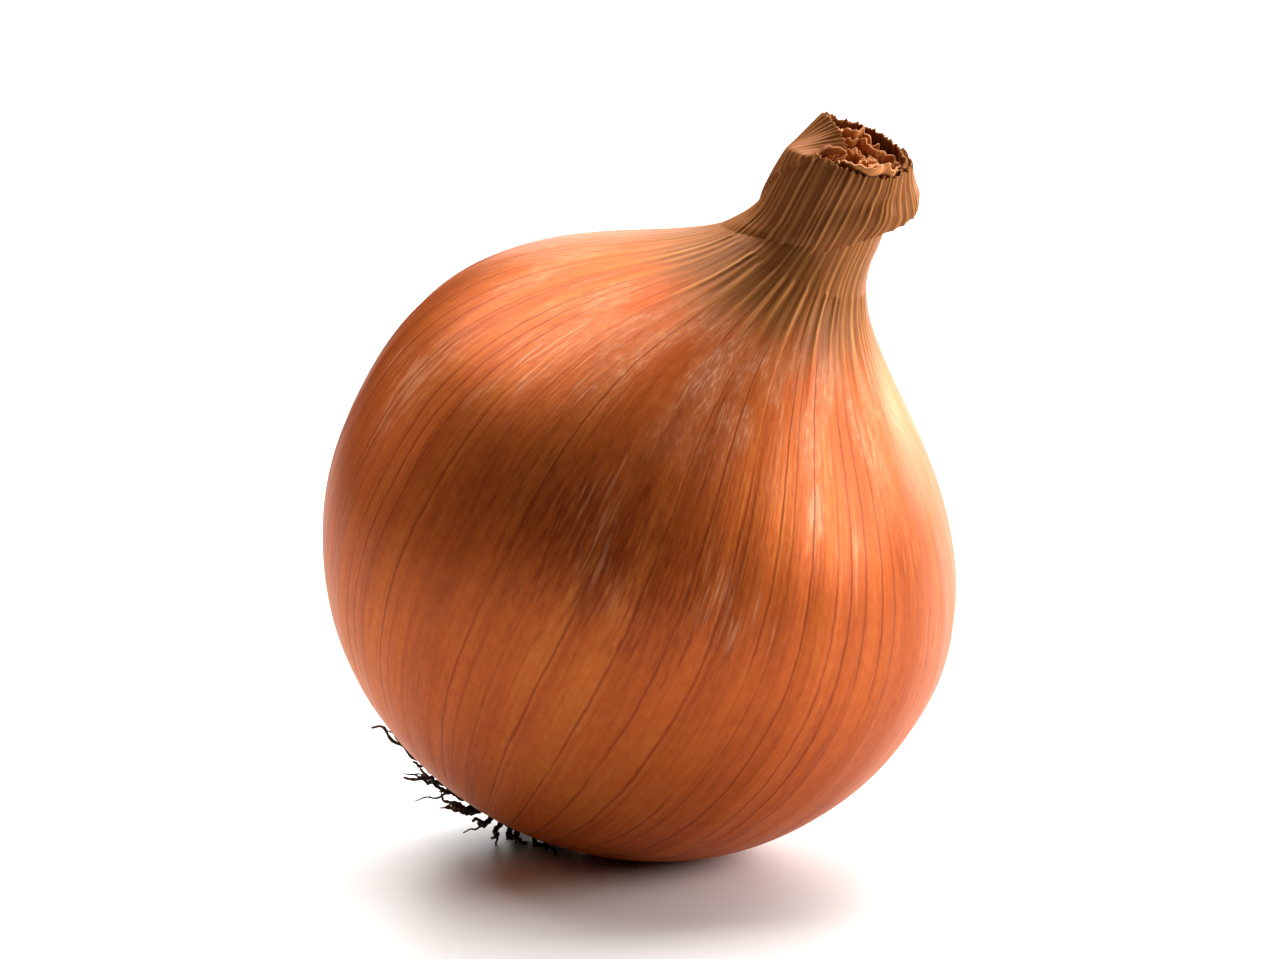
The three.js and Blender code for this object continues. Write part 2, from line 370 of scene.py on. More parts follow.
def add_node(tree: bpy.types.NodeTree, kind: str, inputs: dict | None = None,
             stops: tuple[tuple[float, str], ...] = (), **settings) -> bpy.types.Node:
    """Adds a node to a tree.

    Args:
        tree: the material's or the world's node tree.
        kind: the node's type without its "ShaderNode" prefix.
        inputs: input name or number to a value, or to the level or the output that feeds it.
        stops: a colour ramp's places and sRGB hex colours.
        settings: the node's own properties.

    Returns:
        The new node.
    """
    node = tree.nodes.new("ShaderNode" + kind)
    for name, value in settings.items():
        setattr(node, name, value)
    for name, value in (inputs or {}).items():
        fed = value.socket if isinstance(value, Level) else value
        if isinstance(fed, bpy.types.NodeSocket):
            tree.links.new(fed, node.inputs[name])
        else:
            node.inputs[name].default_value = fed
    for place, (at, colour) in enumerate(stops):
        band = node.color_ramp.elements
        element = band[place] if place < len(band) else band.new(1.0)
        element.position = at
        element.color = linear(colour)
    return node


def new_material(name: str) -> tuple[bpy.types.Material, bpy.types.NodeTree, bpy.types.Node]:
    """Makes an empty node material.

    Args:
        name: what it is called.

    Returns:
        The material, its tree and its Principled shader, already joined to the output.
    """
    material = bpy.data.materials.new(name)
    material.use_nodes = True
    tree = material.node_tree
    tree.nodes.clear()
    shader = add_node(tree, "BsdfPrincipled")
    add_node(tree, "OutputMaterial", {"Surface": shader.outputs[0]})
    return material, tree, shader


def carried(tree: bpy.types.NodeTree, name: str) -> Level:
    """A number that the piece carries at each point."""
    return Level(add_node(tree, "Attribute", attribute_name=name).outputs["Fac"])


def relief(tree: bpy.types.NodeTree, layers: tuple[tuple[Level, float], ...]) -> bpy.types.NodeSocket:
    """Stacks fine relief on a surface.

    Args:
        tree: the material's nodes.
        layers: each layer's height, from 0 to 1, and its depth in millimetres, the lowest one first.

    Returns:
        The normal of the uppermost layer.
    """
    under = {}
    for height, depth in layers:
        layer = add_node(tree, "Bump", {"Height": height, "Distance": depth * MM, "Strength": 1.0, **under})
        under = {"Normal": layer.outputs[0]}
    return under["Normal"]


@dataclass(frozen=True)
class Patches:
    """Irregular patches that follow a piece's grain, at their real size in millimetres.

    A patch is size across and stretch times as long. Detail counts the finer layers in it, and at moves the
    pattern along, so that no two of them fall together.
    """

    size: float
    stretch: float = 1.0
    detail: float = 2.0
    at: float = 0.0
    grain: str = "grain"

    def draw(self, tree: bpy.types.NodeTree) -> Level:
        """Draws the patches.

        Args:
            tree: the material's nodes.

        Returns:
            A number from 0 to 1, mostly near the middle.
        """
        along = add_node(tree, "Attribute", attribute_name=self.grain).outputs["Vector"]
        scale = (1 / self.size, 1 / self.size, 1 / (self.size * self.stretch))
        placed = add_node(tree, "Mapping", {"Vector": along, "Location": (self.at,) * 3, "Scale": scale})
        noise = {"Vector": placed.outputs[0], "Scale": 1.0, "Detail": self.detail}
        return Level(add_node(tree, "TexNoise", noise).outputs["Fac"])


@dataclass(frozen=True)
class SkinMark:
    """One mark on the skin, at an angle round the axis and a distance up the skin.

    The angle is in radians, and the distance and the half sizes are in millimetres.
    """

    around: float
    arc: float
    half_width: float
    half_length: float
    strength: float
    ragged: Patches = Patches(0.5, 7, 4, at=43)
    raggedness: float = 3.2

    def draw(self, tree: bpy.types.NodeTree) -> Level:
        """Draws the mark, which breaks up into the skin's fibres at its edge.

        Args:
            tree: the skin's nodes.

        Returns:
            The mark's strength at each point.
        """
        centre = (FORM.belly * math.cos(self.around), FORM.belly * math.sin(self.around), self.arc)
        scale = (1 / self.half_width, 1 / self.half_width, 1 / self.half_length)
        place = tuple(-c * s for c, s in zip(centre, scale))
        grain = add_node(tree, "Attribute", attribute_name="grain").outputs["Vector"]
        mapped = add_node(tree, "Mapping", {"Vector": grain, "Location": place, "Scale": scale}).outputs[0]
        reach = Level(add_node(tree, "VectorMath", {0: mapped}, operation="LENGTH").outputs["Value"])
        frayed = reach + self.ragged.draw(tree) * self.raggedness
        return self.strength - frayed.eased(1.5, 2.5, to=self.strength)


@dataclass(frozen=True)
class DrySkin:
    """Cured outer skin: a dry, translucent leaf a tenth of a millimetre thick over moist flesh.

    It is smooth and satin, so it takes a broad soft highlight, and its natural wax shines white where it is
    seen edge on. Light that crosses it and mirrors off the air beneath comes back tinted, so part of its
    gloss has the skin's own colour. Its veins and fibres run from root to neck.
    """

    name: str = "dry_skin"
    deep: str = "#7A2C10"
    body: str = "#B0531F"
    golden: str = "#C97730"
    # painted shade: the deep red-brown of a patch on the front, the side that faces the camera
    painted_front_shade: str = "#6A1D0E"
    vein: str = "#6E210D"
    # The pale colour of rubbed skin, also laid on as painted sheen and a painted highlight.
    scuff_and_sheen: str = "#EFBC92"
    # Painted shade in the neck's rib grooves; the crest colour two lines below is a painted highlight on the
    # ribs.
    neck_groove_shade: str = "#5E3616"
    neck: str = "#88552A"
    neck_crest_highlight: str = "#B27A43"
    soiled: str = "#4A2C18"
    gloss_tint: str = "#FFCBA6"
    roughness: float = 0.38
    refraction: float = 1.45
    clear_gloss: float = 0.2
    tinted_gloss: float = 0.52
    wax: float = 0.13
    wax_roughness: float = 0.28
    # Real veins are about 0.15 mm wide and fibres 0.1 mm: both are drawn as coarse as they need to show.
    vein_count: float = 76.0
    vein_width: float = 0.34
    vein_wander: Patches = Patches(12, 3, 4, at=3)
    vein_wobble: Patches = Patches(1.1, 2.5, 3, at=47)
    vein_fading: Patches = Patches(6, 5, 2, at=9)
    fibres: Patches = Patches(0.45, 30, 2, at=7)
    raised_fibres: Patches = Patches(0.45, 18, 2, at=7)
    blotches: Patches = Patches(26, 1.3, 2)
    streaks: Patches = Patches(2.2, 20, 3, at=5)
    # The skin's cells are under 0.1 mm across and are drawn as the clumps that the eye sees.
    cells: Patches = Patches(0.9, 1.6, 4, at=37)
    # Pale lifted cells under the neck, laid over a painted highlight.
    lifted_cells: Patches = Patches(0.5, 3, 5, at=37)
    lifted_areas: Patches = Patches(7, 1.8, 5, at=41)
    # Pale dashes of painted sheen, the glints of the skin's cells over the shoulder, in patches.
    sheen_dashes: Patches = Patches(0.5, 12, 2, at=13)
    sheen_dash_areas: Patches = Patches(10, 1.6, 3, at=17)
    gloss_changes: Patches = Patches(1.2, 6, 2, at=29)
    neck_edge: Patches = Patches(5, 3, 2, at=19)
    neck_lines: Patches = Patches(0.4, 16, 3, at=11, grain="neck_grain")
    neck_fibres: Patches = Patches(0.35, 16, 2, at=11, grain="neck_grain")
    earth: Patches = Patches(2, 2, 3, at=23)
    # A patch of painted shade on the front, facing the camera, where the skin is darkened as if by the dark
    # room in front of it.
    painted_front_shade_patch: SkinMark = SkinMark(math.radians(-82), arc=60, half_width=20, half_length=13, strength=0.5)
    rub_marks: tuple[SkinMark, ...] = (
        SkinMark(math.radians(-41.8), arc=73.5, half_width=2.2, half_length=5, strength=0.38),
        SkinMark(math.radians(-138), arc=61, half_width=4.5, half_length=10, strength=0.28),
    )

    def veins(self, tree: bpy.types.NodeTree) -> tuple[Level, Level]:
        """Draws thin dark veins, uneven in spacing and strength, which wander a little and fade in and out.

        Args:
            tree: the skin's nodes.

        Returns:
            The veins, 1 on their lines, and a number that is the same all over the panel round each vein.
        """
        grain = add_node(tree, "Attribute", attribute_name="grain").outputs["Vector"]
        parts = add_node(tree, "SeparateXYZ", {"Vector": grain}).outputs
        around = Level(parts["Y"]).combined("ARCTAN2", Level(parts["X"]))
        astray = self.vein_wander.draw(tree) * 0.45 + self.vein_wobble.draw(tree) * 0.16
        across = around * (self.vein_count / FULL_TURN) + astray
        inputs = {"W": across, "Scale": 1.0, "Randomness": 0.9}
        panels = add_node(tree, "TexVoronoi", inputs, voronoi_dimensions="1D").outputs
        spacing = FULL_TURN * FORM.belly / self.vein_count
        line = 1.0 - Level(panels["Distance"]).eased(0.0, self.vein_width / spacing)
        panel = Level(add_node(tree, "SeparateXYZ", {"Vector": panels["Color"]}).outputs["X"])
        strength = self.vein_fading.draw(tree).eased(0.3, 0.52) * panel.eased(-0.2, 0.5)
        return line * strength, panel

    def worn(self, tree: bpy.types.NodeTree, height: Level) -> Level:
        """Draws the paler marks: pale dashes of painted sheen over the shoulder, pale lifted cells on a
        painted highlight under the neck, and the rubbed marks.

        Args:
            tree: the skin's nodes.
            height: along the bulb's axis.

        Returns:
            How pale the wear, the painted sheen and the painted highlight have made the skin.
        """
        # Painted sheen: pale dashes over the shoulder, where the skin's cells would glint.
        dashes = self.sheen_dashes.draw(tree).eased(0.48, 0.8)
        dashes = dashes * self.sheen_dash_areas.draw(tree).eased(0.48, 0.66)
        dash_sheen = dashes * height.between((36, 50), (62, 72))
        # Pale lifted cells in a band under the neck, over an even painted highlight (the + 0.3) where the
        # shoulder curves in to the neck under the light above.
        flecks_and_highlight = self.lifted_cells.draw(tree).eased(0.44, 0.74, to=0.9) + 0.3
        flecks_and_highlight = flecks_and_highlight * self.lifted_areas.draw(tree).eased(0.38, 0.62) * height.between((55, 65), (70, 75))
        wear = (dash_sheen * 0.5).combined("MAXIMUM", flecks_and_highlight * 0.4)
        for mark in self.rub_marks:
            wear = wear.combined("MAXIMUM", mark.draw(tree))
        return wear

    def tone(self, tree: bpy.types.NodeTree, panel: Level) -> Level:
        """Draws the skin's tone: slow blotches, panels between veins, streaks, fibres and clumps of cells.

        Args:
            tree: the skin's nodes.
            panel: the number of the panel round each vein.

        Returns:
            0 where the skin is deepest and 1 where it is most golden.
        """
        shares = [
            (self.blotches.draw(tree), 0.6),
            (panel, 0.12),
            (self.streaks.draw(tree), 0.26),
            (self.fibres.draw(tree), 0.3),
            (self.cells.draw(tree), 0.3),
        ]
        tone = (shares[0][0] - 0.5) * shares[0][1] + 0.5
        for pattern, share in shares[1:]:
            tone = tone + (pattern - 0.5) * share
        return tone

    def neck_colour(self, tree: bpy.types.NodeTree) -> bpy.types.NodeSocket:
        """Colours the neck: painted shade in the grooves between its ribs and a painted highlight on their
        crests, over fine lines along its grain.

        Args:
            tree: the skin's nodes.

        Returns:
            The neck's colour.
        """
        # The ribs' relief sets painted shade in their grooves and a painted highlight on their crests.
        ribbed = carried(tree, "crest") * 0.55 + self.neck_lines.draw(tree) * 0.8
        stops = ((0.2, self.neck_groove_shade), (0.55, self.neck), (1.0, self.neck_crest_highlight))
        return add_node(tree, "ValToRGB", {"Fac": ribbed}, stops).outputs[0]

    def colour(self, tree: bpy.types.NodeTree, veins: Level, panel: Level,
               worn: Level) -> bpy.types.NodeSocket:
        """Lays the skin's colours over each other, from its tone to the earth on its base.

        Args:
            tree: the skin's nodes.
            veins: 1 on the veins' lines.
            panel: the number of the panel round each vein.
            worn: how pale wear, painted sheen and a painted highlight have made the skin.

        Returns:
            The skin's colour.
        """
        height = carried(tree, "height")
        necked = (height + self.neck_edge.draw(tree) * 7.0).eased(71, 77.5)
        earthy = 1.0 - (height - self.earth.draw(tree) * 5.0).eased(-2.2, 1.4)
        stops = ((0.1, self.deep), (0.5, self.body), (0.92, self.golden))
        skin = add_node(tree, "ValToRGB", {"Fac": self.tone(tree, panel)}, stops).outputs[0]
        coats = [
            # painted shade on the front
            (self.painted_front_shade_patch.draw(tree), linear(self.painted_front_shade)),
            # pale rubbed marks, painted sheen and a painted highlight
            (worn, linear(self.scuff_and_sheen)),
            (veins * 0.62, linear(self.vein)),
            # the neck's brown, with painted shade and a painted highlight on its ribs
            (necked * 0.9, self.neck_colour(tree)),
            (earthy * 0.8, linear(self.soiled)),
        ]
        for share, coat in coats:
            skin = add_node(tree, "MixRGB", {"Fac": share, "Color1": skin, "Color2": coat}).outputs[0]
        return skin

    def material(self) -> bpy.types.Material:
        """Finishes the skin.

        Returns:
            Its material.
        """
        material, tree, shader = new_material(self.name)
        height = carried(tree, "height")
        veins, panel = self.veins(tree)
        worn = self.worn(tree, height)
        rough = self.gloss_changes.draw(tree) * 0.16 + self.roughness
        rough = rough + height.eased(62, 80, to=0.16) + worn * 0.25
        below_neck = 1.0 - height.eased(56, 74)
        neck_fibres = self.neck_fibres.draw(tree) * height.eased(62, 78)
        layers = (
            (self.raised_fibres.draw(tree) * below_neck, 0.04),
            (self.cells.draw(tree) * below_neck, 0.04),
            (neck_fibres - veins * 0.15, 0.09),
        )
        tree.links.new(self.colour(tree, veins, panel, worn), shader.inputs["Base Color"])
        tree.links.new(rough.socket, shader.inputs["Roughness"])
        tree.links.new(relief(tree, layers), shader.inputs["Normal"])
        shader.inputs["IOR"].default_value = self.refraction
        shader.inputs["Specular IOR Level"].default_value = self.clear_gloss
        shader.inputs["Specular Tint"].default_value = linear(self.gloss_tint)
        shader.inputs["Metallic"].default_value = self.tinted_gloss
        shader.inputs["Coat Weight"].default_value = self.wax
        shader.inputs["Coat Roughness"].default_value = self.wax_roughness
        return material


@dataclass(frozen=True)
class DeadLeaf:
    """Leaf that died back in the neck: crumpled, fibrous, matt and red-brown, orange at its torn edges."""

    name: str = "dead_leaf"
    dark: str = "#4E1D0E"
    body: str = "#91451F"
    torn: str = "#C67D3E"
    roughness: float = 0.72
    # Real fibres are about 0.1 mm wide: these bundles of them are as coarse as it takes to show.
    fibres: Patches = Patches(0.5, 8, 3)
    fibre_depth: float = 0.12
    tears: Patches = Patches(0.7, 2, 2, at=4)

    def material(self) -> bpy.types.Material:
        """Finishes the leaf.

        Returns:
            Its material.
        """
        material, tree, shader = new_material(self.name)
        fibres = self.fibres.draw(tree)
        stops = ((0.3, self.dark), (0.6, self.body), (0.85, self.torn))
        leaf = add_node(tree, "ValToRGB", {"Fac": fibres}, stops).outputs[0]
        edge = (carried(tree, "edge") + self.tears.draw(tree) * 0.12).eased(0.9, 1.03)
        mixed = add_node(tree, "MixRGB", {"Fac": edge, "Color1": leaf, "Color2": linear(self.torn)})
        tree.links.new(mixed.outputs[0], shader.inputs["Base Color"])
        tree.links.new(relief(tree, ((fibres, self.fibre_depth),)), shader.inputs["Normal"])
        shader.inputs["Roughness"].default_value = self.roughness
        return material


@dataclass(frozen=True)
class RootCork:
    """The root plate's cork: dead, cracked and stained with earth, so it is rough and has no gloss."""

    name: str = "root_cork"
    crack: str = "#120B07"
    cork: str = "#4B3320"
    worn: str = "#8A6A47"
    roughness: float = 0.92
    lumps: Patches = Patches(1.1, 1, 5)
    lump_depth: float = 0.5

    def material(self) -> bpy.types.Material:
        """Finishes the cork.

        Returns:
            Its material.
        """
        material, tree, shader = new_material(self.name)
        lumps = self.lumps.draw(tree)
        stops = ((0.32, self.crack), (0.52, self.cork), (0.75, self.worn))
        cork = add_node(tree, "ValToRGB", {"Fac": lumps}, stops).outputs[0]
        tree.links.new(cork, shader.inputs["Base Color"])
        tree.links.new(relief(tree, ((lumps, self.lump_depth),)), shader.inputs["Normal"])
        shader.inputs["Roughness"].default_value = self.roughness
        return material


@dataclass(frozen=True)
class DriedRoot:
    """A dried root: wrinkled along its length, browner at its tip and nearly black at the plate, from earth
    and painted shade for the part that lies backlit under the bulb.
    """

    name: str = "dry_root"
    # Near-black at the plate end: earth, with painted shade for the roots' backlit part under the bulb.
    earthy: str = "#0F0906"
    bark: str = "#2E1C10"
    bare: str = "#7A5630"
    roughness: float = 0.8
    stains: Patches = Patches(1.6, 2, 3)
    wrinkles: Patches = Patches(0.25, 4, 2, at=2)
    wrinkle_depth: float = 0.12

    def material(self) -> bpy.types.Material:
        """Finishes the root.

        Returns:
            Its material.
        """
        material, tree, shader = new_material(self.name)
        # Darkest near the plate, as earth and painted shade, browner towards the tip.
        towards_tip = carried(tree, "edge") * 0.35 + self.stains.draw(tree) * 0.75
        stops = ((0.3, self.earthy), (0.55, self.bark), (0.95, self.bare))
        bark = add_node(tree, "ValToRGB", {"Fac": towards_tip}, stops).outputs[0]
        tree.links.new(bark, shader.inputs["Base Color"])
        wrinkles = relief(tree, ((self.wrinkles.draw(tree), self.wrinkle_depth),))
        tree.links.new(wrinkles, shader.inputs["Normal"])
        shader.inputs["Roughness"].default_value = self.roughness
        return material


@dataclass(frozen=True)
class PaleTable:
    """The studio's table: a smooth white board with a faint gloss."""

    name: str = "pale_table"
    board: str = "#F6F4F2"
    roughness: float = 0.42

    def material(self) -> bpy.types.Material:
        """Finishes the board.

        Returns:
            Its material.
        """
        material, _, shader = new_material(self.name)
        shader.inputs["Base Color"].default_value = linear(self.board)
        shader.inputs["Roughness"].default_value = self.roughness
        return material


# ---------------------------------------------------------------- mesh work


def select_nothing() -> None:
    """Leaves no object selected or active."""
    bpy.ops.object.select_all(action="DESELECT")
    bpy.context.view_layer.objects.active = None


class AtVertex(Enum):
    """What a mesh holds at each vertex, by Blender's names."""

    PLACE = "co"
    NORMAL = "normal"


def read_vertices(piece: bpy.types.Object, what: AtVertex = AtVertex.PLACE) -> np.ndarray:
    """Reads a mesh's vertices.

    Args:
        piece: the mesh's object.
        what: whether their places or their normals are read.

    Returns:
        One row of three numbers for each vertex.
    """
    flat = np.empty(len(piece.data.vertices) * 3)
    piece.data.vertices.foreach_get(what.value, flat)
    return flat.reshape(-1, 3)


def move_vertices(piece: bpy.types.Object, points: np.ndarray) -> None:
    """Puts a mesh's vertices at new points."""
    piece.data.vertices.foreach_set("co", points.ravel())
    piece.data.update()


def carry(piece: bpy.types.Object, name: str, values: np.ndarray) -> None:
    """Stores a number or a vector at each vertex, for the piece's material to read.

    Args:
        piece: the piece's object.
        name: what the material knows it as.
        values: one for each vertex.
    """
    kind = ("FLOAT_VECTOR", "vector") if values.ndim == 2 else ("FLOAT", "value")
    made = piece.data.attributes.new(name, kind[0], "POINT")
    made.data.foreach_set(kind[1], values.astype(np.float32).ravel())


def carry_skin(piece: bpy.types.Object, angle: np.ndarray, height: np.ndarray) -> None:
    """Stores what the dry skin's finish reads: its grain, its neck's finer grain, its height and its ribs.

    Args:
        piece: the piece's object.
        angle: each vertex's angle round the axis.
        height: each vertex's height along it.
    """
    arc = FORM.arc_at(height)
    carry(piece, "grain", grain_of(angle, arc))
    carry(piece, "neck_grain", grain_of(angle, arc, girth=8.0))
    carry(piece, "height", height)
    carry(piece, "crest", FORM.ribs(angle, height))


def grain_of(angle: np.ndarray, arc: np.ndarray, girth: float = 38.0) -> np.ndarray:
    """The grain's coordinates: round a cylinder whose radius is the girth, and along the skin."""
    return np.stack([girth * np.cos(angle), girth * np.sin(angle), arc], axis=-1)


def finish_mesh(piece: bpy.types.Object, name: str, material: bpy.types.Material) -> None:
    """Names a piece, dresses it and smooths its shading.

    Args:
        piece: the piece's object.
        name: its name.
        material: its finish.
    """
    piece.name = name
    piece.data.name = name
    piece.data.materials.clear()
    piece.data.materials.append(material)
    piece.data.polygons.foreach_set("use_smooth", [True] * len(piece.data.polygons))
    piece.data.update()


def face_outwards(piece: bpy.types.Object) -> None:
    """Recalculates a closed mesh's normals so that its faces point out.

    Args:
        piece: the piece's object.
    """
    select_nothing()
    piece.select_set(True)
    bpy.context.view_layer.objects.active = piece
    bpy.ops.object.mode_set(mode="EDIT")
    bpy.ops.mesh.select_all(action="SELECT")
    bpy.ops.mesh.normals_make_consistent(inside=False)
    bpy.ops.object.mode_set(mode="OBJECT")


def close_leaf(piece: bpy.types.Object, thickness: float) -> None:
    """Gives a leaf its thickness on the side away from its faces, lays it down and turns its faces outwards.

    Args:
        piece: the leaf as a sheet in the bulb's frame, in metres.
        thickness: in millimetres.
    """
    select_nothing()
    piece.select_set(True)
    bpy.context.view_layer.objects.active = piece
    wall = piece.modifiers.new("wall", "SOLIDIFY")
    wall.thickness = thickness * MM
    wall.offset = -1.0
    bpy.ops.object.modifier_apply(modifier=wall.name)
    move_vertices(piece, LIE.to_room(read_vertices(piece) / MM))
    face_outwards(piece)


def turned_solid(outline: np.ndarray, sides: int) -> bpy.types.Object:
    """Spins an outline of radius and height, in millimetres, into a closed solid.

    Args:
        outline: one row of radius and height for each point, from the axis round to the axis.
        sides: columns of faces round the axis.

    Returns:
        The solid, in the bulb's upright frame and in millimetres.
    """
    select_nothing()
    bpy.ops.mesh.primitive_circle_add(vertices=len(outline), radius=1, fill_type="NOTHING")
    piece = bpy.context.object
    points = np.stack([outline[:, 0], np.zeros(len(outline)), outline[:, 1]], axis=1)
    move_vertices(piece, points)
    bpy.ops.object.mode_set(mode="EDIT")
    bpy.ops.mesh.select_mode(type="EDGE")
    bpy.ops.mesh.select_all(action="DESELECT")
    bpy.ops.object.mode_set(mode="OBJECT")
    closing = {0, len(outline) - 1}
    for edge in piece.data.edges:
        edge.select = set(edge.vertices) == closing
    bpy.ops.object.mode_set(mode="EDIT")
    bpy.ops.mesh.delete(type="EDGE")
    bpy.ops.mesh.select_all(action="SELECT")
    bpy.ops.mesh.spin(steps=sides, angle=FULL_TURN, center=(0, 0, 0), axis=(0, 0, 1))
    bpy.ops.mesh.select_all(action="SELECT")
    bpy.ops.mesh.remove_doubles(threshold=0.001)
    bpy.ops.mesh.normals_make_consistent(inside=False)
    bpy.ops.object.mode_set(mode="OBJECT")
    return piece


def flat_grid(columns: int, rows: int) -> tuple[bpy.types.Object, np.ndarray, np.ndarray]:
    """Adds a flat grid of faces, to be wrapped into a leaf.

    Args:
        columns: faces across it.
        rows: faces up it.

    Returns:
        The grid, and each vertex's share of the way across it and up it.
    """
    select_nothing()
    bpy.ops.mesh.primitive_grid_add(x_subdivisions=columns, y_subdivisions=rows, size=1)
    piece = bpy.context.object
    shares = read_vertices(piece) + 0.5
    return piece, shares[:, 0], shares[:, 1]


# ---------------------------------------------------------------- the onion's pieces


@dataclass
class Bulb:
    """The bulb in its dry skin, with the stump of its neck and the cup in the stump's end.

    The outermost skin is torn off in a ring round the plate, which shows the skin under it.
    """

    sides: int = 440
    belly_rows: int = 62
    shoulder_rows: int = 118
    stump_rows: int = 11
    stump_height: float = 5.0
    stump_radius: float = 6.5
    stump_wall: float = 1.0
    lip_width: float = 0.3
    lip_rise: float = 0.2
    cup_depth: float = 9.0
    cup_bevel: float = 0.5
    cup_ring: float = 2.0
    seat_depth: float = 2.0
    seat_ring: float = 4.0
    torn_edge: float = 11.2
    skin_step: float = 0.35

    def outline(self) -> np.ndarray:
        """Draws the bulb's section.

        Returns:
            Radius and height, from the seat's middle over the belly and the neck into the cup.
        """
        belly = FORM.belly_outline(self.belly_rows)
        shoulder = FORM.shoulder_outline(self.shoulder_rows)[1:]
        top = FORM.throat_height + self.stump_height
        low = belly[0, 1]
        seat_top = low + self.seat_depth
        seat = [
            (0, seat_top), (self.seat_ring, seat_top), (FORM.seat, seat_top),
            (FORM.seat, low + self.seat_depth / 2),
        ]
        climb = np.linspace(0, 1, self.stump_rows + 1)[1:, None]
        stump = (1 - climb) * shoulder[-1] + climb * np.array([self.stump_radius, top])
        inner = self.stump_radius - self.stump_wall
        floor = top - self.cup_depth
        cup = [
            (self.stump_radius - self.lip_width, top + self.lip_rise),
            (inner + self.lip_width, top + self.lip_rise),
            (inner, top), (inner, top - self.cup_depth / 3), (inner, floor + self.cup_bevel),
            (inner - self.cup_bevel, floor), (self.cup_ring, floor), (0, floor),
        ]
        return np.concatenate([np.array(seat), belly, shoulder, stump, np.array(cup)])

    def build(self) -> bpy.types.Object:
        """Spins the outline, raises the relief on its skin and lays it down.

        Returns:
            The bulb, in the room.
        """
        piece = turned_solid(self.outline(), self.sides)
        upright = read_vertices(piece)
        angle = np.arctan2(upright[:, 1], upright[:, 0])
        height = upright[:, 2]
        radius = np.hypot(upright[:, 0], upright[:, 1])
        top = FORM.throat_height + self.stump_height
        near = 0.01
        skin = (radius > FORM.seat - near) & (height < top - near) & (radius > self.stump_radius - 5 * near)
        raised = np.where(skin, FORM.relief(angle, height) + self.torn_step(angle, height, radius), 0)
        placed = upright + read_vertices(piece, AtVertex.NORMAL) * raised[:, None]
        swayed = FORM.place(angle, placed[:, 2], np.hypot(placed[:, 0], placed[:, 1]))
        move_vertices(piece, LIE.above_table(LIE.to_room(swayed)))
        carry_skin(piece, angle, height)
        finish_mesh(piece, "bulb_skin", DrySkin().material())
        return piece

    def torn_step(self, angle: np.ndarray, height: np.ndarray, radius: np.ndarray) -> np.ndarray:
        """Ends the outermost skin in a torn edge short of the plate, a step down to the skin below.

        Args:
            angle: round the axis, in radians.
            height: along the axis, in millimetres.
            radius: from the axis.

        Returns:
            Millimetres to push the skin out by, below 0 past the edge.
        """
        torn = self.torn_edge + 0.9 * waves(angle, angle * 0, (3, 17), 0.0, seed=31)
        torn = torn + 0.5 * np.abs(waves(angle, angle * 0, (20, 60), 0.0, seed=32))
        below_belly = height < FORM.belly_height / 2
        return np.where(below_belly, -self.skin_step * (1 - smooth(radius, torn - 0.25, torn + 0.15)), 0)


